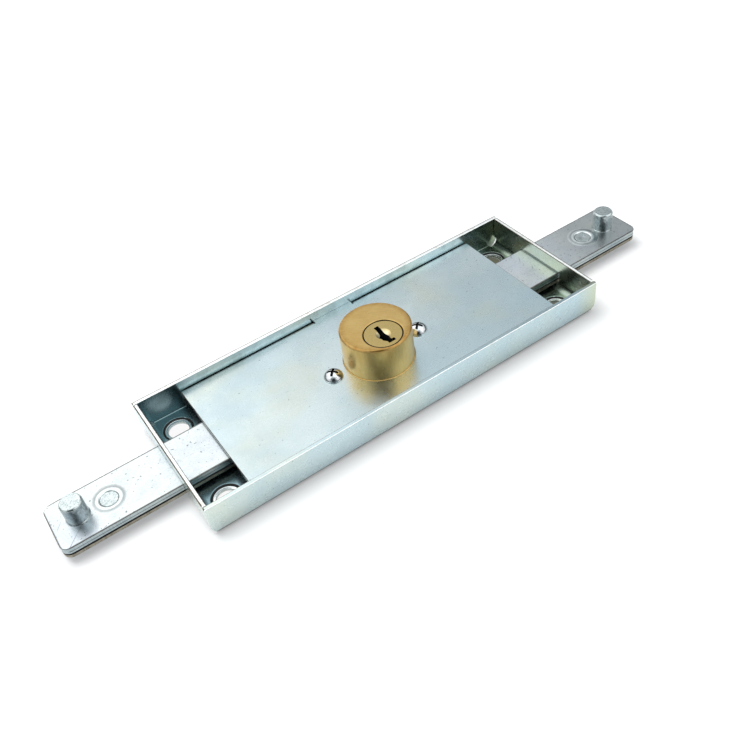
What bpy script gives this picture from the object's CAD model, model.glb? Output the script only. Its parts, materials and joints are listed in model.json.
"""Finishes and studio for a roller shutter lock in bright zinc plate, brass and chrome."""

import json
from math import cos, pi, radians, sin

import bpy
from mathutils import Matrix, Vector


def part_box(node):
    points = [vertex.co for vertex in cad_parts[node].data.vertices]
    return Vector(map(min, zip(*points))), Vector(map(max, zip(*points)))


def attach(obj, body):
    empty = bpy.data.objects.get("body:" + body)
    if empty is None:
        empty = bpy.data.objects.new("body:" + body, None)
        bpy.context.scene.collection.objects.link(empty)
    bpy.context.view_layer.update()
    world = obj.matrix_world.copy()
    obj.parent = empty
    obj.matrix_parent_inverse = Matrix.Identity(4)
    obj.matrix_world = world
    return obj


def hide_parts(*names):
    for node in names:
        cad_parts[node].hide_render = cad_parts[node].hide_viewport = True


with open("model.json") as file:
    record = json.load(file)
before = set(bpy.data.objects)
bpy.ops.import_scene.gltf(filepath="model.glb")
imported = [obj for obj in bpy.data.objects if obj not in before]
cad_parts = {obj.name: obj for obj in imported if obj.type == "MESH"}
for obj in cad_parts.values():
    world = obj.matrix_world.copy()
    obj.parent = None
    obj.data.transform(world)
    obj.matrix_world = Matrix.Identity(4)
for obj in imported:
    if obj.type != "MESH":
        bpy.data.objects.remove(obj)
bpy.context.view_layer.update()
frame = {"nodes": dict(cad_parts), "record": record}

bl_info = {
    "name": "Roller shutter lock",
    "version": (1, 0, 0),
    "blender": (4, 5, 0),
    "location": "View3D > Sidebar > Shutter lock",
    "description": "Plated, brass and chromed finishes for a roller shutter lock, with its studio",
    "category": "Object",
}

MM = 0.001
SIDES = ("left", "right")
PIN_COUNT = sum(name.startswith("key_pin_") for name in frame["nodes"])

CASE_LOW, CASE_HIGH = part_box("case")
COVER_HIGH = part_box("cover")[1]
BODY_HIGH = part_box("cylinder_body")[1]
PLUG_LOW, PLUG_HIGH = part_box("plug")
NOSE = next(mount for mount in frame["record"]["mounts"] if mount["name"] == "cylinder_nose")
NOSE_R = NOSE["dims"]["r_mm"] * MM
NOSE_AXIS = Vector((NOSE["pos_m"][0], NOSE["pos_m"][1], 0.0))
PLUG_AXIS = Vector(((PLUG_LOW.x + PLUG_HIGH.x) / 2, (PLUG_LOW.y + PLUG_HIGH.y) / 2, 0.0))
BOLT_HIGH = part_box("right_bolt_top")[1]
RIVET_LOW, RIVET_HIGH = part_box("right_outer_rivet")
RIVET_R = (RIVET_HIGH.x - RIVET_LOW.x) / 2
RIVET_AXIS = Vector((RIVET_LOW.x + RIVET_R, 0.0, 0.0))
HOLES = next(
    mount for mount in frame["record"]["mounts"] if mount["name"] == "fixing_holes")["dims"]
HOLE_R = HOLES["hole_r_mm"] * MM
HOLE_X = HOLES["spacing_x_mm"] * MM / 2
HOLE_Y = HOLES["spacing_y_mm"] * MM / 2

# A little more than the sheet's thickness, to pick what lies within one wall or the floor.
SHEET_REACH = 1.6 * MM
# Width of the pressed recess round a fixing hole, with a little to spare.
RECESS_REACH = 2.4 * MM
# Width of the browned line along the outer edge of the rim.
RIM_LINE = 0.2 * MM
# A face is flat from this share of its normal along an axis.
FLAT = 0.97
WHITE = (1.0, 1.0, 1.0, 1.0)

# Tent colours by direction, in degrees from the far side, towards the right. The far side is
# brightest, the strip at 51 degrees is the gap between two panels, and the dark strip at -152
# is the one behind the camera.
TENT_TINTS = (
    (-180, "#7C8285"), (-168, "#3A4043"), (-152, "#202326"), (-134, "#303538"), (-118, "#858B8E"),
    (-102, "#E2E6E8"), (-60, "#F6F9FA"), (-25, "#FCFEFF"), (8, "#FFFFFF"), (13, "#F6F8F9"),
    (18, "#E0E3E5"), (23, "#C6CACC"), (33, "#BBBFC2"), (41, "#C0C4C7"), (46, "#B2B6B9"),
    (51, "#8D9295"), (60, "#9CA1A4"), (80, "#E2E6E8"), (112, "#F4F6F7"), (150, "#FFFFFF"),
    (168, "#D2D6D8"), (180, "#8B9194"),
)


def linear(hex_text):
    """Linear colour, with alpha, of an sRGB colour written as #RRGGBB."""
    channels = [int(hex_text[k:k + 2], 16) / 255 for k in (1, 3, 5)]
    return [c / 12.92 if c <= 0.04045 else ((c + 0.055) / 1.055) ** 2.4 for c in channels] + [1.0]


class CaseSettings(bpy.types.PropertyGroup):
    edge_bevel: bpy.props.FloatProperty(
        name="Edge bevel", description="Rounding of the sheared edges of the folded sheet",
        default=0.2 * MM, min=0.02 * MM, max=0.4 * MM, unit="LENGTH")
    plate_tint: bpy.props.FloatVectorProperty(
        name="Plate tint", description="Colour of the bright zinc plate",
        default=linear("#DDE9EA"), size=4, min=0.0, max=1.0, subtype="COLOR")
    shade_tint: bpy.props.FloatVectorProperty(
        name="Clouded tint", description="Colour where the zinc plate is clouded",
        default=linear("#CCDADC"), size=4, min=0.0, max=1.0, subtype="COLOR")
    blue_tint: bpy.props.FloatVectorProperty(
        name="Blue tint", description="Colour of the blue drifts of the passivate",
        default=linear("#BFD8E2"), size=4, min=0.0, max=1.0, subtype="COLOR")
    yellow_tint: bpy.props.FloatVectorProperty(
        name="Yellow tint", description="Colour of the yellow drifts of the passivate",
        default=linear("#E0E0C6"), size=4, min=0.0, max=1.0, subtype="COLOR")
    thin_tint: bpy.props.FloatVectorProperty(
        name="Thin tint", description="Colour in the end pockets, where the zinc is thin",
        default=linear("#86A0A5"), size=4, min=0.0, max=1.0, subtype="COLOR")
    cut_tint: bpy.props.FloatVectorProperty(
        name="Cut tint", description="Colour of the sheared rim of the case",
        default=linear("#F0F3F2"), size=4, min=0.0, max=1.0, subtype="COLOR")
    burr_tint: bpy.props.FloatVectorProperty(
        name="Burr tint", description="Colour of the browned burr along a sheared edge",
        default=linear("#6E675C"), size=4, min=0.0, max=1.0, subtype="COLOR")


class BoltSettings(bpy.types.PropertyGroup):
    edge_bevel: bpy.props.FloatProperty(
        name="Edge bevel", description="Rounding of the punched edges of the bolt plates",
        default=0.2 * MM, min=0.02 * MM, max=0.5 * MM, unit="LENGTH")
    plate_gap: bpy.props.FloatProperty(
        name="Plate gap", description="Gap under the middle plate, which is bowed by its rivets",
        default=0.45 * MM, min=0.0, max=0.5 * MM, unit="LENGTH")
    ring_height: bpy.props.FloatProperty(
        name="Ring height", description="Height of the plate drawn up round the outer rivet",
        default=0.24 * MM, min=0.05 * MM, max=0.4 * MM, unit="LENGTH")
    plate_tint: bpy.props.FloatVectorProperty(
        name="Plate tint", description="Colour of the zinc plate on the bolts",
        default=linear("#EBF0F0"), size=4, min=0.0, max=1.0, subtype="COLOR")
    scratch_tint: bpy.props.FloatVectorProperty(
        name="Scratch tint", description="Colour of scratches and pits in the plate",
        default=linear("#6E787A"), size=4, min=0.0, max=1.0, subtype="COLOR")
    side_tint: bpy.props.FloatVectorProperty(
        name="Side tint", description="Colour of the punched sides of the upper plates",
        default=linear("#A9B6BA"), size=4, min=0.0, max=1.0, subtype="COLOR")
    stain_tint: bpy.props.FloatVectorProperty(
        name="Stain tint", description="Colour of the stained sides of the lowest plate",
        default=linear("#968F80"), size=4, min=0.0, max=1.0, subtype="COLOR")
    stud_tint: bpy.props.FloatVectorProperty(
        name="Stud tint", description="Colour of the zinc plate on the studs and rivets",
        default=linear("#D6DFDF"), size=4, min=0.0, max=1.0, subtype="COLOR")


class CylinderSettings(bpy.types.PropertyGroup):
    edge_bevel: bpy.props.FloatProperty(
        name="Edge bevel", description="Rounding of the turned edges",
        default=0.12 * MM, min=0.02 * MM, max=0.3 * MM, unit="LENGTH")
    plug_chamfer: bpy.props.FloatProperty(
        name="Plug chamfer", description="Chamfer of the plug's rim, which grime fills",
        default=0.32 * MM, min=0.05 * MM, max=0.5 * MM, unit="LENGTH")
    brass_tint: bpy.props.FloatVectorProperty(
        name="Brass tint", description="Colour of the satin brass",
        default=linear("#DDBC7A"), size=4, min=0.0, max=1.0, subtype="COLOR")
    worn_tint: bpy.props.FloatVectorProperty(
        name="Worn tint", description="Colour of the brass where it is rubbed",
        default=linear("#B08242"), size=4, min=0.0, max=1.0, subtype="COLOR")
    plug_tint: bpy.props.FloatVectorProperty(
        name="Plug tint", description="Colour of the plug, which is a little greener",
        default=linear("#CFB577"), size=4, min=0.0, max=1.0, subtype="COLOR")
    oil_tint: bpy.props.FloatVectorProperty(
        name="Oil tint", description="Colour of the oil and graphite in the keyway",
        default=linear("#0B0E0E"), size=4, min=0.0, max=1.0, subtype="COLOR")
    chrome_tint: bpy.props.FloatVectorProperty(
        name="Chrome tint", description="Colour of the chromed screws",
        default=linear("#E6E9EB"), size=4, min=0.0, max=1.0, subtype="COLOR")
    spring_tint: bpy.props.FloatVectorProperty(
        name="Spring tint", description="Colour of the hidden springs, drivers and pinion",
        default=linear("#A7A9AC"), size=4, min=0.0, max=1.0, subtype="COLOR")


class StudioSettings(bpy.types.PropertyGroup):
    azimuth: bpy.props.FloatProperty(
        name="Camera azimuth", description="Direction that the camera looks from",
        default=radians(-28.20), subtype="ANGLE")
    elevation: bpy.props.FloatProperty(
        name="Camera elevation", description="Height of the camera above the horizon",
        default=radians(44.63), subtype="ANGLE")
    roll: bpy.props.FloatProperty(
        name="Camera roll", description="Turn of the camera about its own axis",
        default=radians(-8.78), subtype="ANGLE")
    distance: bpy.props.FloatProperty(
        name="Camera distance", description="Distance from the camera to its target",
        default=306.2 * MM, unit="LENGTH")
    target: bpy.props.FloatVectorProperty(
        name="Camera target", description="Point on the ground that the camera looks at",
        default=(-2.23 * MM, -3.18 * MM, 0.0), subtype="XYZ", unit="LENGTH")
    lens: bpy.props.FloatProperty(
        name="Focal length", description="Focal length of the lens in millimetres", default=40.18)
    tent_level: bpy.props.FloatProperty(
        name="Tent level", description="Brightness of the light tent round the object",
        default=1.45)
    lamp_power: bpy.props.FloatProperty(
        name="Lamp power", description="Power of the overhead softbox in watts", default=4.2)
    lamp_size: bpy.props.FloatProperty(
        name="Lamp size", description="Width of the overhead softbox", default=0.4, unit="LENGTH")
    lamp_place: bpy.props.FloatVectorProperty(
        name="Lamp place", description="Place of the overhead softbox, which faces the object",
        default=(-0.12, 0.16, 0.56), subtype="XYZ", unit="LENGTH")
    floor_tint: bpy.props.FloatVectorProperty(
        name="Floor tint", description="Colour of the seamless floor",
        default=linear("#BEBEBE"), size=4, min=0.0, max=1.0, subtype="COLOR")
    floor_glow: bpy.props.FloatProperty(
        name="Floor glow", description="How far the floor is lifted to white where it is seen",
        default=0.24)


def add_node(tree, kind, values=None, links=None, **settings):
    """Adds a node with its settings, the values of its sockets and the sockets that feed them."""
    node = tree.nodes.new(kind)
    for name, value in settings.items():
        setattr(node, name, value)
    for socket, value in (values or {}).items():
        node.inputs[socket].default_value = value
    for socket, source in (links or {}).items():
        tree.links.new(source, node.inputs[socket])
    return node


def empty_material(name):
    """A material before its first node."""
    material = bpy.data.materials.new(name)
    material.use_nodes = True
    material.node_tree.nodes.clear()
    return material, material.node_tree


def metal(name, roughness=0.3, metallic=1.0):
    """A bare metal, before its tints and its relief."""
    material, tree = empty_material(name)
    shader = add_node(
        tree, "ShaderNodeBsdfPrincipled", {"Roughness": roughness, "Metallic": metallic})
    add_node(tree, "ShaderNodeOutputMaterial", links={"Surface": shader.outputs["BSDF"]})
    return material, tree, shader


def patches(tree, size, low, high, to=(0.0, 1.0), detail=3.0, turn=0.0, shift=0.0):
    """Random patches of a size in millimetres, along X, Y and Z, where noise passes low to high."""
    place = add_node(tree, "ShaderNodeTexCoord")
    scaled = add_node(
        tree, "ShaderNodeMapping",
        {"Scale": [length * MM for length in size], "Rotation": (0.0, 0.0, turn),
         "Location": (shift, shift, 0.0)},
        {"Vector": place.outputs["Object"]}, vector_type="TEXTURE")
    random = add_node(
        tree, "ShaderNodeTexNoise", {"Scale": 1.0, "Detail": detail, "Roughness": 0.55},
        {"Vector": scaled.outputs["Vector"]})
    return add_node(
        tree, "ShaderNodeMapRange",
        {"From Min": low, "From Max": high, "To Min": to[0], "To Max": to[1]},
        {"Value": random.outputs["Fac"]}).outputs["Result"]


def point_on_piece(tree, mirrored):
    """The place of a point, or of its mirror image in the far right quarter of the lock."""
    place = add_node(tree, "ShaderNodeTexCoord").outputs["Object"]
    if not mirrored:
        return place
    return add_node(
        tree, "ShaderNodeVectorMath", links={0: place}, operation="ABSOLUTE").outputs["Vector"]


def rise_along(tree, axis, start, end, most=1.0, mirrored=False):
    """A share that rises from 0 at the start to the most at the end of a stretch of an axis."""
    split = add_node(
        tree, "ShaderNodeSeparateXYZ", links={"Vector": point_on_piece(tree, mirrored)})
    return add_node(
        tree, "ShaderNodeMapRange", {"From Min": start, "From Max": end, "To Max": most},
        {"Value": split.outputs[axis]}).outputs["Result"]


def rise_outwards(tree, axis, inner, outer, to=(0.0, 1.0)):
    """A share that changes from the radius inner to the radius outer round an upright axis.

    An axis on the middle line of the case counts for its mirror image on the left as well.
    """
    flat = add_node(
        tree, "ShaderNodeMapping", {"Location": -axis, "Scale": (1.0, 1.0, 0.0)},
        {"Vector": point_on_piece(tree, axis.y == 0)})
    radius = add_node(
        tree, "ShaderNodeVectorMath", links={0: flat.outputs["Vector"]}, operation="LENGTH")
    return add_node(
        tree, "ShaderNodeMapRange",
        {"From Min": inner, "From Max": outer, "To Min": to[0], "To Max": to[1]},
        {"Value": radius.outputs["Value"]}).outputs["Result"]


def lay_tints(tree, shader, tint, *layers):
    """Colours a surface with a tint, and lays further tints over it, each by its own share."""
    under = None
    for share, cover in layers:
        mix = add_node(tree, "ShaderNodeMix", {6: tint, 7: cover}, {0: share}, data_type="RGBA")
        if under is not None:
            tree.links.new(under, mix.inputs[6])
        under = mix.outputs[2]
    tree.links.new(under, shader.inputs["Base Color"])


def raise_relief(tree, shader, *layers):
    """Raises a surface by patterns, each with its depth in millimetres."""
    under = None
    for pattern, depth in layers:
        bump = add_node(tree, "ShaderNodeBump", {"Distance": depth * MM}, {"Height": pattern})
        if under is not None:
            tree.links.new(under, bump.inputs["Normal"])
        under = bump.outputs["Normal"]
    tree.links.new(under, shader.inputs["Normal"])


def bright_zinc_sheet(settings):
    """Bright zinc on rolled sheet: a satin mirror with blue and yellow drifts of passivate."""
    material, tree, shader = metal("bright_zinc_sheet")
    # The bath drained towards one end, so the passivate is yellowest over the last 10 mm there.
    drained = rise_along(tree, "X", CASE_HIGH.x - 10 * MM, CASE_HIGH.x - 1 * MM, 0.65)
    # The near wall hung lowest in the bath, where the passivate grew bluer and darker.
    lowest = rise_along(tree, "Y", CASE_LOW.y + SHEET_REACH, CASE_LOW.y + 0.4 * MM, 0.4)
    lay_tints(
        tree, shader, settings.plate_tint,
        (patches(tree, (28, 28, 28), 0.35, 0.68), settings.shade_tint),
        (lowest, linear("#9DBCC2")),
        (patches(tree, (48, 36, 48), 0.42, 0.75, (0.0, 0.6)), settings.blue_tint),
        (patches(tree, (40, 30, 40), 0.48, 0.75, (0.0, 0.6), shift=0.3), settings.yellow_tint),
        (drained, linear("#CDD1AC")),
        # The grain of the rolled steel is finer than 0.1 mm, and is drawn at 0.45 mm.
        (patches(tree, (0.45, 0.45, 0.45), 0.4, 0.66, (0.0, 0.09), 2.0), linear("#7F8C90")),
        (patches(tree, (0.9, 0.9, 0.9), 0.75, 0.78, (0.0, 0.6), 1.0), linear("#5E6A6E")),
        (patches(tree, (9.0, 0.8, 0.8), 0.7, 0.73, (0.0, 0.35), turn=0.5), linear("#E9EFF0")))
    tree.links.new(
        patches(tree, (4, 4, 4), 0.3, 0.7, (0.24, 0.32)), shader.inputs["Roughness"])
    raise_relief(
        tree, shader,
        (patches(tree, (32, 32, 32), 0.2, 0.8, detail=1.0), 0.25),
        (patches(tree, (0.9, 0.9, 0.9), 0.2, 0.8, detail=2.0), 0.003))
    return material


def thin_zinc_sheet(settings):
    """Zinc in the case's deep end pockets: a dull mirror, because the plate is thin over steel."""
    material, tree, shader = metal("thin_zinc_sheet")
    # The pockets begin where the cover ends.
    pocket = rise_along(tree, "X", COVER_HIGH.x - 3 * MM, COVER_HIGH.x + 1 * MM, mirrored=True)
    # The bath drained towards the right, and left that end yellow.
    yellowed = rise_along(tree, "X", COVER_HIGH.x, CASE_HIGH.x, 0.5)
    # Grime lies on the wall in the crevice behind the cover's fold.
    low = rise_along(tree, "Z", COVER_HIGH.z - 0.1 * MM, COVER_HIGH.z - 0.6 * MM, 0.9)
    beside_cover = add_node(tree, "ShaderNodeMath", {0: 1.0}, {1: pocket}, operation="SUBTRACT")
    crevice = add_node(
        tree, "ShaderNodeMath", links={0: low, 1: beside_cover.outputs["Value"]},
        operation="MULTIPLY")
    # The near side hung lower in the bath, and its zinc is thicker and bluer.
    nearer = rise_along(tree, "Y", -14 * MM, -25 * MM, 0.7)
    lay_tints(
        tree, shader, settings.plate_tint,
        (patches(tree, (28, 28, 28), 0.35, 0.68), settings.shade_tint),
        (pocket, settings.thin_tint),
        (patches(tree, (8, 8, 8), 0.5, 0.75, (0.0, 0.3)), linear("#5F7376")),
        (nearer, linear("#A9C2D6")),
        (yellowed, linear("#C4C9A0")),
        (crevice.outputs["Value"], linear("#15181A")))
    tree.links.new(
        patches(tree, (4, 4, 4), 0.3, 0.7, (0.22, 0.3)), shader.inputs["Roughness"])
    raise_relief(tree, shader, (patches(tree, (0.9, 0.9, 0.9), 0.2, 0.8, detail=2.0), 0.005))
    return material


def sheared_zinc_edge(settings):
    """Cut face of the plated sheet: whiter and rougher than its skin, with the shear's marks."""
    material, tree, shader = metal("sheared_zinc_edge", 0.45, 0.75)
    lay_tints(
        tree, shader, settings.cut_tint,
        (patches(tree, (2.0, 2.0, 2.0), 0.52, 0.75), linear("#C9C2B2")))
    raise_relief(tree, shader, (patches(tree, (0.5, 0.5, 0.5), 0.2, 0.8, detail=2.0), 0.012))
    return material


def rubbed_zinc_edge(settings):
    """Plate rubbed by handling along an edge: nearly white, because it scatters light all ways."""
    material, tree, shader = metal("rubbed_zinc_edge", 0.5, 0.35)
    lay_tints(
        tree, shader, linear("#FBFCFB"),
        (patches(tree, (6.0, 6.0, 6.0), 0.6, 0.75, (0.0, 0.5)), linear("#C7CCCC")))
    return material


def burred_edge(settings):
    """Burr along a sheared edge, where the plate is thin and the steel under it has browned."""
    material, tree, shader = metal("burred_edge", 0.42, 0.6)
    lay_tints(
        tree, shader, settings.burr_tint,
        (patches(tree, (3.0, 3.0, 3.0), 0.35, 0.65), linear("#453A30")))
    return material


def punched_zinc_edge(settings):
    """Punched side of a plated sheet: upright marks of the punch, duller than the face."""
    material, tree, shader = metal("punched_zinc_edge", 0.32)
    marks = patches(tree, (0.35, 0.35, 8.0), 0.35, 0.65)
    lay_tints(
        tree, shader, settings.side_tint,
        (marks, linear("#8E9B9F")),
        (patches(tree, (14.0, 14.0, 14.0), 0.45, 0.7, (0.0, 0.6)), linear("#C3CCC8")))
    raise_relief(tree, shader, (marks, 0.008))
    return material


def stained_zinc_edge(settings):
    """Punched side of the lowest plate: brown, because its zinc wore through on the rail."""
    material, tree, shader = metal("stained_zinc_edge", 0.4, 0.85)
    marks = patches(tree, (0.5, 0.5, 8.0), 0.35, 0.65)
    lay_tints(
        tree, shader, settings.stain_tint,
        (marks, linear("#6F675A")),
        (patches(tree, (9.0, 9.0, 9.0), 0.45, 0.7, (0.0, 0.7)), linear("#B4B1A4")))
    raise_relief(tree, shader, (marks, 0.01))
    return material


def handled_zinc_plate(settings):
    """Zinc on punched steel that slides: fine scratches along its travel and small dark pits."""
    material, tree, shader = metal("handled_zinc_plate")
    # The right bolt has lost some of its zinc on the shutter rail.
    worn_away = rise_along(tree, "X", CASE_HIGH.x, CASE_HIGH.x + 20 * MM, 0.6)
    # The punch thinned the plate along the edges, which show as a fine dark line.
    at_side, at_tip = (
        rise_along(tree, axis, edge - 0.55 * MM, edge - 0.3 * MM, 0.85, mirrored=True)
        for axis, edge in (("Y", BOLT_HIGH.y), ("X", BOLT_HIGH.x)))
    at_edge = add_node(
        tree, "ShaderNodeMath", links={0: at_side, 1: at_tip}, operation="MAXIMUM")
    lay_tints(
        tree, shader, settings.plate_tint,
        (patches(tree, (9.0, 7.0, 9.0), 0.4, 0.72), linear("#DCE3E4")),
        (patches(tree, (30.0, 22.0, 30.0), 0.45, 0.72, (0.0, 0.5), shift=0.2), linear("#D6DFF2")),
        (worn_away, linear("#B4B7B6")),
        (patches(tree, (22.0, 22.0, 22.0), 0.5, 0.75, (0.0, 0.6), shift=0.5), linear("#E6E7D6")),
        (patches(tree, (0.4, 0.4, 0.4), 0.4, 0.66, (0.0, 0.2), 2.0), linear("#7F8C90")),
        (patches(tree, (11.0, 1.0, 1.0), 0.66, 0.72, (0.0, 0.3)), settings.scratch_tint),
        (patches(tree, (7.0, 0.7, 0.7), 0.69, 0.73, (0.0, 0.45), turn=1.0), settings.scratch_tint),
        (patches(tree, (0.9, 0.9, 0.9), 0.7, 0.74, (0.0, 0.8), 1.0), settings.scratch_tint),
        (at_edge.outputs["Value"], linear("#4A4C4B")))
    tree.links.new(
        patches(tree, (2.0, 2.0, 2.0), 0.3, 0.7, (0.26, 0.36)), shader.inputs["Roughness"])
    raise_relief(
        tree, shader,
        (patches(tree, (11.0, 1.0, 1.0), 0.66, 0.72), 0.005),
        (patches(tree, (0.8, 0.8, 0.8), 0.2, 0.8, detail=2.0), 0.01))
    return material


def pressed_zinc_ring(settings):
    """Zinc plate burnished by the riveting tool: brighter and smoother than the plate round it."""
    material, tree, shader = metal("pressed_zinc_ring", 0.2)
    # The tool's rim left a duller band round the bright one.
    dulled = rise_outwards(tree, RIVET_AXIS, RIVET_R + 1.2 * MM, RIVET_R + 1.7 * MM)
    fading = rise_outwards(tree, RIVET_AXIS, RIVET_R + 2.0 * MM, RIVET_R + 3.1 * MM, (0.62, 0.0))
    band = add_node(tree, "ShaderNodeMath", links={0: dulled, 1: fading}, operation="MULTIPLY")
    lay_tints(
        tree, shader, settings.plate_tint,
        (patches(tree, (1.5, 1.5, 1.5), 0.5, 0.7, (0.0, 0.4)), linear("#A9B4B8")),
        (band.outputs["Value"], linear("#7C8486")))
    return material


def turned_zinc_steel(settings):
    """Zinc plate on a turned stud: speckled, because the tumbled blank is rough under its plate."""
    material, tree, shader = metal("turned_zinc_steel", 0.24)
    lay_tints(
        tree, shader, settings.stud_tint,
        (patches(tree, (0.6, 0.6, 0.6), 0.48, 0.66, (0.0, 0.5)), linear("#7F8C92")),
        (patches(tree, (2.2, 2.2, 2.2), 0.5, 0.72, (0.0, 0.5)), linear("#A9B4B4")))
    raise_relief(tree, shader, (patches(tree, (0.7, 0.7, 0.7), 0.3, 0.7), 0.02))
    return material


def tumbled_zinc_side(settings):
    """Side of a turned stud: greyer than its top, with dark patches where the plate is thin."""
    material, tree, shader = metal("tumbled_zinc_side", 0.22)
    lay_tints(
        tree, shader, linear("#9BA6A9"),
        (patches(tree, (1.6, 1.6, 2.4), 0.5, 0.68, (0.0, 0.6)), linear("#5A666B")),
        (patches(tree, (0.6, 0.6, 0.6), 0.5, 0.66, (0.0, 0.4)), settings.stud_tint))
    raise_relief(tree, shader, (patches(tree, (0.7, 0.7, 0.7), 0.3, 0.7), 0.02))
    return material


def brushed_brass(settings):
    """Leaded brass, faced on a lathe and rubbed with a fine belt: orange where its edge is worn."""
    material, tree, shader = metal("brushed_brass")
    # The worn edge reaches 2.6 mm into the face and 1.3 mm down the side.
    worn_face = rise_outwards(tree, NOSE_AXIS, NOSE_R - 2.6 * MM, NOSE_R)
    worn_side = rise_along(tree, "Z", BODY_HIGH.z - 1.3 * MM, BODY_HIGH.z - 0.1 * MM)
    worn = add_node(
        tree, "ShaderNodeMath", links={0: worn_face, 1: worn_side}, operation="MULTIPLY")
    worn_patches = add_node(
        tree, "ShaderNodeMath",
        links={0: worn.outputs["Value"],
               1: patches(tree, (1.6, 1.6, 1.6), 0.3, 0.65, (0.35, 1.0))},
        operation="MULTIPLY")
    # The belt's scratches are some hundredths of a millimetre apart, and are drawn at 0.35 mm.
    scratch = (5.0, 0.35, 4.0)
    lay_tints(
        tree, shader, settings.brass_tint,
        (patches(tree, (6.0, 6.0, 6.0), 0.4, 0.7, (0.0, 0.45)), linear("#C9A05A")),
        (patches(tree, scratch, 0.4, 0.7, (0.0, 0.22), turn=-0.6), linear("#A88347")),
        (worn_patches.outputs["Value"], settings.worn_tint))
    tree.links.new(
        patches(tree, (1.1, 1.1, 1.1), 0.3, 0.7, (0.27, 0.37)), shader.inputs["Roughness"])
    raise_relief(
        tree, shader,
        (patches(tree, scratch, 0.3, 0.7, turn=-0.6), 0.008),
        (patches(tree, (0.5, 0.5, 0.5), 0.2, 0.8, detail=2.0), 0.008))
    return material


def polished_brass(settings):
    """Plug brass: finer than the body, and polished pale in its dish by long use."""
    material, tree, shader = metal("polished_brass")
    tree.links.new(
        rise_outwards(tree, PLUG_AXIS, 1.4 * MM, 3.2 * MM, (0.13, 0.24)),
        shader.inputs["Roughness"])
    lay_tints(
        tree, shader, settings.plug_tint,
        (rise_outwards(tree, PLUG_AXIS, 1.6 * MM, 3.0 * MM, (0.75, 0.0)), linear("#F6EAC4")),
        (patches(tree, (0.5, 0.5, 0.5), 0.45, 0.7, (0.0, 0.18)), linear("#9C8146")))
    raise_relief(tree, shader, (patches(tree, (0.55, 0.55, 0.55), 0.2, 0.8), 0.008))
    return material


def oiled_cavity(settings):
    """Metal black with oil, graphite and grime, as in a keyway or between two plates."""
    material, tree, shader = metal("oiled_cavity", 0.5, 0.3)
    lay_tints(
        tree, shader, settings.oil_tint,
        (patches(tree, (0.8, 0.8, 0.8), 0.35, 0.7), linear("#1B1C19")))
    return material


def bright_chrome(settings):
    """Chrome plate on a screw head: nearly a mirror, softened by fine driver marks."""
    material, tree, shader = metal("bright_chrome")
    lay_tints(
        tree, shader, settings.chrome_tint,
        (patches(tree, (0.5, 0.5, 0.5), 0.6, 0.7, (0.0, 0.5)), linear("#6D7072")))
    grain = patches(tree, (0.7, 0.7, 0.7), 0.3, 0.7, (0.05, 0.12))
    tree.links.new(grain, shader.inputs["Roughness"])
    raise_relief(tree, shader, (patches(tree, (0.9, 0.9, 0.9), 0.2, 0.8), 0.05))
    return material


def drawn_spring_steel(settings):
    """Drawn spring steel: even grey with a dull oiled sheen."""
    material, tree, shader = metal("drawn_spring_steel", 0.35)
    lay_tints(
        tree, shader, settings.spring_tint,
        (patches(tree, (1.2, 1.2, 1.2), 0.35, 0.7), linear("#84878B")))
    return material


def finish(make, settings):
    """Makes a finish once, and finds it again after that."""
    return bpy.data.materials.get(make.__name__) or make(settings)


def deselect_all():
    if bpy.context.object is not None and bpy.context.object.mode != "OBJECT":
        bpy.ops.object.mode_set(mode="OBJECT")
    bpy.ops.object.select_all(action="DESELECT")


def make_active(piece):
    deselect_all()
    bpy.context.view_layer.objects.active = piece
    piece.select_set(True)


def node_middle(node):
    low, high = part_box(node)
    return (low + high) / 2


def merged_copy(node, name):
    """A copy of a CAD node with its loose triangles joined and its flat faces made whole."""
    piece = bpy.data.objects.new(name, frame["nodes"][node].data.copy())
    bpy.context.scene.collection.objects.link(piece)
    piece.data.materials.clear()
    make_active(piece)
    bpy.ops.object.mode_set(mode="EDIT")
    bpy.ops.mesh.select_all(action="SELECT")
    bpy.ops.mesh.remove_doubles(threshold=0.002 * MM)
    bpy.ops.mesh.dissolve_limited(angle_limit=radians(0.5))
    bpy.ops.object.mode_set(mode="OBJECT")
    return piece


def start_choice(piece, kind):
    """Makes a piece ready for a choice of its vertices, edges or faces."""
    make_active(piece)
    bpy.ops.object.mode_set(mode="EDIT")
    bpy.ops.mesh.select_mode(type=kind)
    bpy.ops.mesh.select_all(action="DESELECT")
    bpy.ops.object.mode_set(mode="OBJECT")


def lift_underside(piece, rise):
    """Moves the lowest flat face of a plate up."""
    lowest = min(vertex.co.z for vertex in piece.data.vertices)
    start_choice(piece, "VERT")
    for vertex in piece.data.vertices:
        vertex.select = vertex.co.z < lowest + rise / 2
    bpy.ops.object.mode_set(mode="EDIT")
    bpy.ops.transform.translate(value=(0.0, 0.0, rise))
    bpy.ops.object.mode_set(mode="OBJECT")


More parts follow.
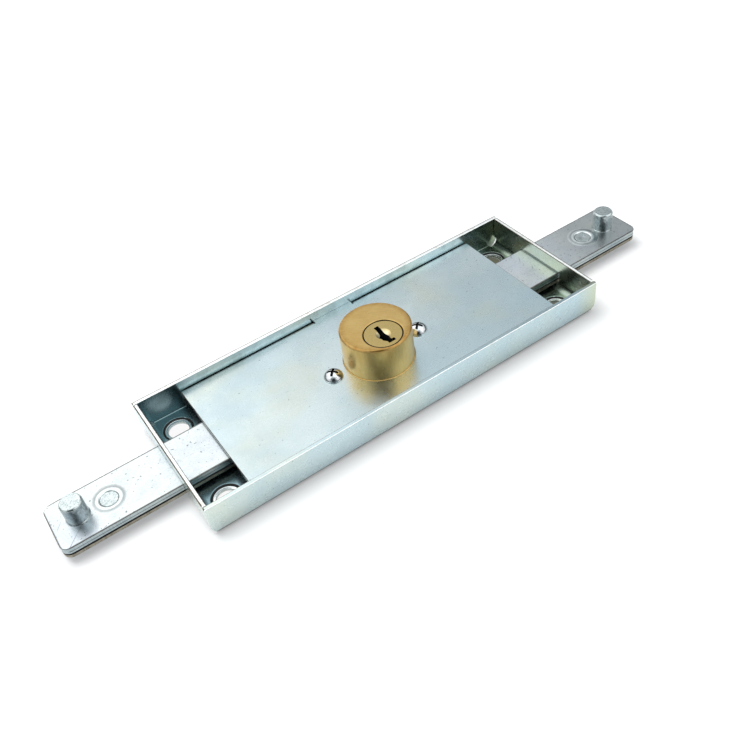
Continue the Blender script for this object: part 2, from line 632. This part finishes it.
def bevel_edges(piece, width, segments=3, angle=radians(32)):
    """Rounds the sharp edges, then shades the rest smooth."""
    make_active(piece)
    corners = [vertex.co.copy() for vertex in piece.data.vertices]
    low = [min(corner[axis] for corner in corners) for axis in range(3)]
    high = [max(corner[axis] for corner in corners) for axis in range(3)]
    modifier = piece.modifiers.new("edge_round", "BEVEL")
    modifier.width = width
    modifier.segments = segments
    modifier.limit_method = "ANGLE"
    modifier.angle_limit = angle
    modifier.use_clamp_overlap = False
    modifier.miter_outer = "MITER_ARC"
    bpy.ops.object.modifier_apply(modifier=modifier.name)
    # Where two roundings run into each other a corner can be thrown out of the piece.
    for vertex in piece.data.vertices:
        vertex.co = [min(max(vertex.co[axis], low[axis]), high[axis]) for axis in range(3)]
    bpy.ops.object.shade_smooth_by_angle(angle=radians(40))
    weights = piece.modifiers.new("flat_faces", "WEIGHTED_NORMAL")
    weights.keep_sharp = True
    bpy.ops.object.modifier_apply(modifier=weights.name)


def dress(piece, body, slot, material, *nodes):
    """Gives a finished piece its material, its body, its slot and the nodes that it stands for."""
    piece.data.materials.clear()
    piece.data.materials.append(material)
    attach(piece, body)
    if nodes:
        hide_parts(*nodes)


def dress_faces(piece, material, chosen):
    """Gives a further material to the faces that a test picks by their middle and normal."""
    piece.data.materials.append(material)
    index = len(piece.data.materials) - 1
    for face in piece.data.polygons:
        if chosen(face.center, face.normal):
            face.material_index = index


def outline_faces(piece, material, width, chosen, kept):
    """Parts a strip along the edges of chosen flat faces, and gives it a further material."""
    start_choice(piece, "FACE")
    for face in piece.data.polygons:
        face.select = chosen(face.center, face.normal)
    bpy.ops.object.mode_set(mode="EDIT")
    bpy.ops.mesh.inset(thickness=width, depth=0.0)
    bpy.ops.object.mode_set(mode="OBJECT")
    piece.data.materials.append(material)
    index = len(piece.data.materials) - 1
    for face in piece.data.polygons:
        if chosen(face.center, face.normal) and not face.select and kept(face.center):
            face.material_index = index


def paint_node(node, material):
    """Gives a CAD node that keeps its own shape a better material."""
    carried = frame["nodes"][node]
    carried.data.materials.clear()
    carried.data.materials.append(material)


def spun_profile(name, outline, centre, steps=64):
    """A turned piece: an outline of (radius, height) points spun round a vertical axis."""
    deselect_all()
    bpy.ops.mesh.primitive_plane_add(size=MM, location=(0.0, 0.0, 0.0))
    piece = bpy.context.object
    piece.name = name
    piece.data.name = name
    bpy.ops.object.mode_set(mode="EDIT")
    bpy.ops.mesh.select_all(action="SELECT")
    bpy.ops.mesh.merge(type="CENTER")
    points = [Vector((radius, 0.0, height)) for radius, height in outline]
    bpy.ops.transform.translate(value=points[0])
    for start, end in zip(points, points[1:]):
        bpy.ops.mesh.extrude_region_move(TRANSFORM_OT_translate={"value": end - start})
    bpy.ops.mesh.select_all(action="SELECT")
    bpy.ops.mesh.spin(steps=steps, angle=2 * pi, center=(0.0, 0.0, 0.0), axis=(0.0, 0.0, 1.0))
    bpy.ops.mesh.select_all(action="SELECT")
    bpy.ops.mesh.remove_doubles(threshold=0.002 * MM)
    bpy.ops.mesh.normals_make_consistent(inside=False)
    bpy.ops.transform.translate(value=centre)
    bpy.ops.object.mode_set(mode="OBJECT")
    bpy.ops.object.shade_smooth_by_angle(angle=radians(40))
    return piece


def moved_copy(piece, name, move):
    """A copy of a piece that isn't dressed yet, with its own mesh, moved to its place."""
    twin = bpy.data.objects.new(name, piece.data.copy())
    twin.data.name = name
    bpy.context.scene.collection.objects.link(twin)
    make_active(twin)
    bpy.ops.object.mode_set(mode="EDIT")
    bpy.ops.mesh.select_all(action="SELECT")
    bpy.ops.transform.translate(value=move)
    bpy.ops.object.mode_set(mode="OBJECT")
    return twin


class SHUTTER_OT_case(bpy.types.Operator):
    """Rounds the edges of the folded case and gives it its plate"""
    bl_idname = "shutter.case"
    bl_label = "Case"

    def execute(self, context):
        settings = context.scene.shutter_case
        bevel = settings.edge_bevel
        plate = finish(bright_zinc_sheet, settings)
        burr = finish(burred_edge, settings)
        grime = finish(oiled_cavity, context.scene.shutter_cylinder)

        def on_rim(at, normal):
            return at.z > CASE_HIGH.z - bevel / 2 and normal.z > FLAT

        piece = merged_copy("case", "folded_case")
        bevel_edges(piece, bevel)
        dress(piece, "lock_case", "zinc_plated_sheet", plate, "case")
        dress_faces(
            piece, finish(thin_zinc_sheet, settings),
            lambda at, normal: (normal.z > 0.3 and at.z < CASE_HIGH.z / 2)
            or (normal.y < -0.3 and at.y > CASE_HIGH.y - 2 * SHEET_REACH))
        # The recesses round the fixing holes have grimy slopes and bright floors.
        dress_faces(
            piece, grime,
            lambda at, normal: 0.3 < normal.z < 0.9 and at.z < SHEET_REACH and self.near_hole(at))
        dress_faces(
            piece, finish(pressed_zinc_ring, context.scene.shutter_bolts),
            lambda at, normal: normal.z > 0.9 and at.z < 1.1 * MM and self.near_hole(at))
        dress_faces(piece, finish(sheared_zinc_edge, settings), on_rim)
        dress_faces(
            piece, burr,
            lambda at, normal: at.z > CASE_HIGH.z - bevel and 0.2 < normal.z < FLAT
            and at.y > CASE_LOW.y + bevel)
        # The near rim was rubbed bright along its outer edge, and its top is duller.
        dress_faces(
            piece, finish(rubbed_zinc_edge, settings),
            lambda at, normal: at.z > CASE_HIGH.z - bevel and normal.y < -0.2)
        dress_faces(
            piece, plate,
            lambda at, normal: on_rim(at, normal) and at.y < CASE_LOW.y + SHEET_REACH)
        # Grime lies along the foot of the walls, where the case met the shutter.
        dress_faces(
            piece, grime, lambda at, normal: -0.98 < normal.z < -0.3 and at.z < 1.4 * MM)
        outline_faces(
            piece, burr, RIM_LINE, on_rim,
            lambda at: min(CASE_HIGH.x - abs(at.x), CASE_HIGH.y - at.y) < bevel + RIM_LINE)
        return {"FINISHED"}

    def near_hole(self, at):
        """Whether a point lies in the pressed recess round a fixing hole."""
        return Vector((abs(at.x) - HOLE_X, abs(at.y) - HOLE_Y)).length < HOLE_R + RECESS_REACH


class SHUTTER_OT_cover(bpy.types.Operator):
    """Rounds the edges of the cover and gives it its plate"""
    bl_idname = "shutter.cover"
    bl_label = "Cover"

    def execute(self, context):
        settings = context.scene.shutter_case
        bevel = settings.edge_bevel
        piece = merged_copy("cover", "folded_cover")
        bevel_edges(piece, bevel)
        dress(piece, "lock_case", "zinc_plated_sheet", finish(bright_zinc_sheet, settings), "cover")
        dress_faces(
            piece, finish(punched_zinc_edge, context.scene.shutter_bolts),
            lambda at, normal: abs(normal.x) > FLAT and abs(at.x) > COVER_HIGH.x - bevel / 2)
        dress_faces(
            piece, finish(burred_edge, settings),
            lambda at, normal: 0.2 < abs(normal.x) <= FLAT and abs(at.x) > COVER_HIGH.x - bevel)
        return {"FINISHED"}


class SHUTTER_OT_bolts(bpy.types.Operator):
    """Rounds the punched edges of the bolt plates and draws them up round each outer rivet"""
    bl_idname = "shutter.bolts"
    bl_label = "Bolts"

    def execute(self, context):
        settings = context.scene.shutter_bolts
        plate = finish(handled_zinc_plate, settings)
        grime = finish(oiled_cavity, context.scene.shutter_cylinder)
        for side in SIDES:
            for layer in ("top", "middle", "bottom"):
                node = f"{side}_bolt_{layer}"
                piece = merged_copy(node, f"{side}_{layer}_plate")
                if layer == "middle":
                    lift_underside(piece, settings.plate_gap)
                bevel_edges(piece, settings.edge_bevel)
                dress(piece, f"{side}_bolt", "zinc_plated_steel", plate, node)
                cut = stained_zinc_edge if layer == "bottom" else punched_zinc_edge
                dress_faces(piece, finish(cut, settings), lambda at, normal: abs(normal.z) < 0.3)
                if layer == "top":
                    dress_faces(
                        piece, finish(burred_edge, context.scene.shutter_case),
                        lambda at, normal: 0.3 <= normal.z <= FLAT)
                # Grime fills the gap between the lower two plates.
                if layer == "middle":
                    dress_faces(piece, grime, lambda at, normal: normal.z < -0.3)
                if layer == "bottom":
                    dress_faces(piece, grime, lambda at, normal: normal.z > 0.3)
        self.draw_up_plates(settings)
        return {"FINISHED"}

    def draw_up_plates(self, settings):
        """The plate drawn up round the outer rivets: a soft swelling with a sharp inner lip."""
        # Reach from the rivet in millimetres, and rise as a share of the ring's height.
        swelling = ((0.05, -0.9), (0.12, -0.1), (0.4, 0.8), (0.9, 1.0), (1.5, 0.72), (2.2, 0.3),
                    (2.8, 0.08), (3.1, -0.05), (3.1, -1.0), (0.05, -1.0))
        outline = [(RIVET_R + reach * MM, BOLT_HIGH.z + rise * settings.ring_height)
                   for reach, rise in swelling]
        outline.append(outline[0])
        left, right = (node_middle(f"{side}_outer_rivet") for side in SIDES)
        first = spun_profile("left_drawn_ring", outline, Vector((left.x, left.y, 0.0)))
        rings = (first, moved_copy(first, "right_drawn_ring", right - left))
        for side, ring in zip(SIDES, rings):
            dress(ring, f"{side}_bolt", "zinc_plated_steel", finish(pressed_zinc_ring, settings))


class SHUTTER_OT_studs(bpy.types.Operator):
    """Turns the studs and dresses the rivets and guide posts"""
    bl_idname = "shutter.studs"
    bl_label = "Studs and rivets"

    def execute(self, context):
        steel = finish(turned_zinc_steel, context.scene.shutter_bolts)
        dull = finish(tumbled_zinc_side, context.scene.shutter_bolts)
        for side in SIDES:
            for part in ("stud", "outer_rivet", "inner_rivet"):
                node = f"{side}_{part}"
                piece = merged_copy(node, f"{side}_turned_{part}")
                bevel_edges(piece, 0.1 * MM, 2)
                dress(piece, f"{side}_bolt", "zinc_plated_steel", steel, node)
                if part == "stud":
                    dress_faces(piece, dull, lambda at, normal: abs(normal.z) < 0.3)
            paint_node(f"{side}_guide_post", steel)
        return {"FINISHED"}


class SHUTTER_OT_cylinder(bpy.types.Operator):
    """Dresses the brass body, its plug and the pins inside"""
    bl_idname = "shutter.cylinder"
    bl_label = "Cylinder"

    def execute(self, context):
        settings = context.scene.shutter_cylinder
        oil = finish(oiled_cavity, settings)
        brass = finish(brushed_brass, settings)
        plug_brass = finish(polished_brass, settings)
        head_r = (PLUG_HIGH.x - PLUG_LOW.x) / 2
        body = merged_copy("cylinder_body", "brass_body")
        bevel_edges(body, settings.edge_bevel)
        dress(body, "lock_case", "satin_brass", brass, "cylinder_body")
        dress_faces(
            body, oil,
            lambda at, normal: (at - PLUG_AXIS).xy.length < head_r + 0.1 * MM
            and abs(normal.z) < 0.5)
        self.add_seat_ring(brass)
        plug = merged_copy("plug", "brass_plug")
        self.chamfer_plug(plug, head_r, settings.plug_chamfer)
        bevel_edges(plug, settings.edge_bevel / 2, 2)
        dress(plug, "key_plug", "satin_brass", plug_brass, "plug")
        # The walls of the keyway stand upright inside the head.
        dress_faces(
            plug, oil,
            lambda at, normal: (at - PLUG_AXIS).xy.length < 0.85 * head_r and abs(normal.z) < 0.5
            and at.z < PLUG_HIGH.z - 0.1 * MM)
        # Grime lies in the groove round the plug, apart from the far right, which use wiped clean.
        wiped = Vector((0.47, 0.88, 0.0))
        dress_faces(
            plug, oil,
            lambda at, normal: (at - PLUG_AXIS).xy.length > head_r - 1.05 * settings.plug_chamfer
            and at.z > PLUG_HIGH.z - 1.2 * settings.plug_chamfer and normal.z < 0.9
            and normal.dot(wiped) < 0.1)
        spring = finish(drawn_spring_steel, settings)
        paint_node("plug_clip", spring)
        paint_node("pinion", spring)
        for k in range(1, PIN_COUNT + 1):
            paint_node(f"key_pin_{k}", plug_brass)
            paint_node(f"chamber_plug_{k}", brass)
            paint_node(f"driver_pin_{k}", spring)
            paint_node(f"pin_spring_{k}", spring)
        return {"FINISHED"}

    def add_seat_ring(self, brass):
        """The collar turned on the body that fills the hole in the cover."""
        # Reach past the body's side and rise above the cover, both in millimetres.
        outline = (
            (-0.1, -0.6), (0.18, -0.6), (0.18, -0.08), (0.06, 0.0), (-0.1, 0.12), (-0.1, -0.6))
        points = [(NOSE_R + reach * MM, COVER_HIGH.z + rise * MM) for reach, rise in outline]
        ring = spun_profile("seat_ring", points, NOSE_AXIS, 96)
        dress(ring, "lock_case", "satin_brass", brass)

    def chamfer_plug(self, plug, head_r, width):
        """Chamfers the rim of the plug, which leaves a groove round it."""
        start_choice(plug, "EDGE")
        vertices = plug.data.vertices
        for edge in plug.data.edges:
            edge.select = all(
                vertices[k].co.z > PLUG_HIGH.z - 0.01 * MM
                and (vertices[k].co - PLUG_AXIS).xy.length > head_r - 0.02 * MM
                for k in edge.vertices)
        bpy.ops.object.mode_set(mode="EDIT")
        bpy.ops.mesh.bevel(offset=width, segments=1, affect="EDGES")
        bpy.ops.object.mode_set(mode="OBJECT")


class SHUTTER_OT_screws(bpy.types.Operator):
    """Chromes the two screws that hold the cylinder under the cover"""
    bl_idname = "shutter.screws"
    bl_label = "Cover screws"

    def execute(self, context):
        settings = context.scene.shutter_cylinder
        for side in SIDES:
            node = f"{side}_cover_screw"
            piece = merged_copy(node, f"{side}_chrome_screw")
            bevel_edges(piece, 0.12 * MM, 2, radians(28))
            dress(piece, "lock_case", "chrome_screw", finish(bright_chrome, settings), node)
            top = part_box(node)[1].z
            middle = node_middle(node)
            # The recess is what has upright walls or a floor within 2.4 mm of the head's middle.
            dress_faces(
                piece, finish(oiled_cavity, settings),
                lambda at, normal: (at - middle).xy.length < 2.4 * MM and at.z > COVER_HIGH.z
                and (abs(normal.z) < 0.6 or at.z < top - 0.9 * MM))
        return {"FINISHED"}


class SHUTTER_OT_stage(bpy.types.Operator):
    """Sets the floor, the light tent, the lamp and the camera"""
    bl_idname = "shutter.stage"
    bl_label = "Studio"

    def execute(self, context):
        settings = context.scene.shutter_studio
        self.add_floor(settings)
        self.add_paper_in_holes()
        self.add_tent(context, settings)
        self.add_softbox(settings)
        self.add_camera(context, settings)
        return {"FINISHED"}

    def add_floor(self, settings):
        """A pale seamless floor that shows white and keeps the object's shadow."""
        deselect_all()
        bpy.ops.mesh.primitive_plane_add(size=6.0, location=(0.0, 0.0, -0.02 * MM))
        floor = bpy.context.object
        floor.name = "seamless_floor"
        material, tree = empty_material("white_paper")
        paper = add_node(tree, "ShaderNodeBsdfDiffuse", {"Color": settings.floor_tint})
        # The softbox lights only the middle of the floor, so the rest is lifted more.
        lift = rise_outwards(
            tree, Vector((0.0, 0.0, 0.0)), 0.2, 0.7,
            (settings.floor_glow, settings.floor_glow + 0.5))
        glow = add_node(tree, "ShaderNodeEmission", {"Color": WHITE}, {"Strength": lift})
        both = add_node(
            tree, "ShaderNodeAddShader",
            links={0: paper.outputs["BSDF"], 1: glow.outputs["Emission"]})
        rays = add_node(tree, "ShaderNodeLightPath")
        mirrored = add_node(
            tree, "ShaderNodeMath",
            links={0: rays.outputs["Is Glossy Ray"], 1: rays.outputs["Is Transmission Ray"]},
            operation="MAXIMUM")
        seen = add_node(
            tree, "ShaderNodeMath",
            links={0: rays.outputs["Is Camera Ray"], 1: mirrored.outputs["Value"]},
            operation="MAXIMUM")
        shown = add_node(
            tree, "ShaderNodeMixShader",
            links={0: seen.outputs["Value"], 1: paper.outputs["BSDF"],
                   2: both.outputs["Shader"]})
        add_node(tree, "ShaderNodeOutputMaterial", links={"Surface": shown.outputs["Shader"]})
        floor.data.materials.append(material)

    def add_paper_in_holes(self):
        """Paper under the fixing holes: as bright as the floor at the left, shaded at the right."""
        for x, paper in ((-HOLE_X, self.lit_paper()), (HOLE_X, self.shaded_paper())):
            for y in (-HOLE_Y, HOLE_Y):
                deselect_all()
                bpy.ops.mesh.primitive_circle_add(
                    vertices=48, radius=HOLE_R, fill_type="NGON", location=(x, y, 0.02 * MM))
                disc = bpy.context.object
                disc.name = "paper_in_hole"
                disc.data.materials.append(paper)

    def lit_paper(self):
        """Paper as bright as the floor, for the left fixing holes, and dimmer in reflections."""
        material, tree = empty_material("lit_paper")
        rays = add_node(tree, "ShaderNodeLightPath")
        strength = add_node(
            tree, "ShaderNodeMapRange", {"To Min": 0.7, "To Max": 0.95},
            {"Value": rays.outputs["Is Camera Ray"]})
        glow = add_node(
            tree, "ShaderNodeEmission", {"Color": WHITE}, {"Strength": strength.outputs["Result"]})
        add_node(tree, "ShaderNodeOutputMaterial", links={"Surface": glow.outputs["Emission"]})
        return material

    def shaded_paper(self):
        """Paper in the shade of the case, for the right fixing holes."""
        material, tree = empty_material("shaded_paper")
        dim = add_node(tree, "ShaderNodeBsdfDiffuse", {"Color": linear("#56574A")})
        add_node(tree, "ShaderNodeOutputMaterial", links={"Surface": dim.outputs["BSDF"]})
        return material

    def add_tent(self, context, settings):
        """The world as a light tent: brightest over the far side, and dark along the horizon."""
        world = bpy.data.worlds.new("light_tent")
        world.use_nodes = True
        context.scene.world = world
        tree = world.node_tree
        tree.nodes.clear()
        place = add_node(tree, "ShaderNodeTexCoord")
        split = add_node(
            tree, "ShaderNodeSeparateXYZ", links={"Vector": place.outputs["Generated"]})
        azimuth = add_node(
            tree, "ShaderNodeMath", links={0: split.outputs["X"], 1: split.outputs["Y"]},
            operation="ARCTAN2")
        turn = add_node(
            tree, "ShaderNodeMapRange", {"From Min": -pi, "From Max": pi},
            {"Value": azimuth.outputs["Value"]})
        around = add_node(tree, "ShaderNodeValToRGB", links={"Fac": turn.outputs["Result"]})
        ramp = around.color_ramp
        for k, (angle, tint) in enumerate(TENT_TINTS):
            stop = ramp.elements[k] if k < 2 else ramp.elements.new(1.0)
            stop.position = (angle + 180) / 360
            stop.color = linear(tint)
        # Z is the sine of the height: the horizon is dark up to 6 degrees, and clear from 26 on.
        rise = add_node(
            tree, "ShaderNodeMapRange", {"From Min": 0.1, "From Max": 0.44},
            {"Value": split.outputs["Z"]})
        low_sky = add_node(
            tree, "ShaderNodeMix", {6: linear("#3E4448")},
            {0: rise.outputs["Result"], 7: around.outputs["Color"]}, data_type="RGBA")
        # The tent closes in an even ceiling from 51 to 72 degrees up.
        ceiling = add_node(
            tree, "ShaderNodeMapRange", {"From Min": 0.78, "From Max": 0.95},
            {"Value": split.outputs["Z"]})
        sky = add_node(
            tree, "ShaderNodeMix", {7: linear("#E2E8EA")},
            {0: ceiling.outputs["Result"], 6: low_sky.outputs[2]}, data_type="RGBA")
        # The lamps stand over the tent, so its cloth grows brighter from 37 to 48 degrees up.
        level = add_node(
            tree, "ShaderNodeMapRange",
            {"From Min": 0.6, "From Max": 0.74, "To Min": 0.86 * settings.tent_level,
             "To Max": 1.12 * settings.tent_level},
            {"Value": split.outputs["Z"]})
        tent = add_node(
            tree, "ShaderNodeBackground",
            links={"Color": sky.outputs[2], "Strength": level.outputs["Result"]})
        white = add_node(
            tree, "ShaderNodeBackground", {"Color": WHITE, "Strength": 1.0})
        rays = add_node(tree, "ShaderNodeLightPath")
        shown = add_node(
            tree, "ShaderNodeMixShader",
            links={0: rays.outputs["Is Camera Ray"], 1: tent.outputs["Background"],
                   2: white.outputs["Background"]})
        add_node(tree, "ShaderNodeOutputWorld", links={"Surface": shown.outputs["Shader"]})

    def add_softbox(self, settings):
        """A softbox over the far left for the shadow on the floor, which no metal reflects."""
        lamp = bpy.data.lights.new("overhead_softbox", "AREA")
        lamp.shape = "SQUARE"
        lamp.size = settings.lamp_size
        lamp.energy = settings.lamp_power
        holder = bpy.data.objects.new("overhead_softbox", lamp)
        bpy.context.scene.collection.objects.link(holder)
        holder.location = settings.lamp_place
        holder.rotation_euler = (-holder.location).to_track_quat("-Z", "Y").to_euler()
        holder.visible_glossy = False

    def add_camera(self, context, settings):
        """The camera on its arc round the target, level but for its own roll."""
        lens = bpy.data.cameras.new("studio_camera")
        lens.lens = settings.lens
        lens.clip_start = 0.01
        camera = bpy.data.objects.new("studio_camera", lens)
        context.scene.collection.objects.link(camera)
        a, e, roll = settings.azimuth, settings.elevation, settings.roll
        back = Vector((sin(a) * cos(e), -cos(a) * cos(e), sin(e)))
        level = Vector((cos(a), sin(a), 0.0))
        upright = back.cross(level)
        right = cos(roll) * level + sin(roll) * upright
        up = cos(roll) * upright - sin(roll) * level
        place = Vector(settings.target) + settings.distance * back
        turn = Matrix((right, up, back)).transposed().to_4x4()
        camera.matrix_world = Matrix.Translation(place) @ turn
        context.scene.camera = camera


OPERATORS = (
    SHUTTER_OT_case, SHUTTER_OT_cover, SHUTTER_OT_bolts, SHUTTER_OT_studs,
    SHUTTER_OT_cylinder, SHUTTER_OT_screws, SHUTTER_OT_stage,
)
SETTINGS = {
    "shutter_case": CaseSettings,
    "shutter_bolts": BoltSettings,
    "shutter_cylinder": CylinderSettings,
    "shutter_studio": StudioSettings,
}


class SHUTTER_PT_sidebar(bpy.types.Panel):
    """Lists the sizes, the colours and the steps"""
    bl_label = "Shutter lock"
    bl_idname = "SHUTTER_PT_sidebar"
    bl_space_type = "VIEW_3D"
    bl_region_type = "UI"
    bl_category = "Shutter lock"

    def draw(self, context):
        for name, kind in SETTINGS.items():
            group = getattr(context.scene, name)
            for field in kind.__annotations__:
                self.layout.prop(group, field)
        for operator in OPERATORS:
            self.layout.operator(operator.bl_idname)


def register():
    for kind in (*SETTINGS.values(), *OPERATORS, SHUTTER_PT_sidebar):
        bpy.utils.register_class(kind)
    for name, kind in SETTINGS.items():
        setattr(bpy.types.Scene, name, bpy.props.PointerProperty(type=kind))


def unregister():
    for name in SETTINGS:
        delattr(bpy.types.Scene, name)
    for kind in (SHUTTER_PT_sidebar, *reversed(OPERATORS), *SETTINGS.values()):
        bpy.utils.unregister_class(kind)


def main():
    register()
    bpy.context.scene.view_settings.view_transform = "Standard"
    bpy.ops.shutter.stage()
    bpy.ops.shutter.case()
    bpy.ops.shutter.cover()
    bpy.ops.shutter.bolts()
    bpy.ops.shutter.studs()
    bpy.ops.shutter.cylinder()
    bpy.ops.shutter.screws()
    deselect_all()


if __name__ == "__main__":
    main()
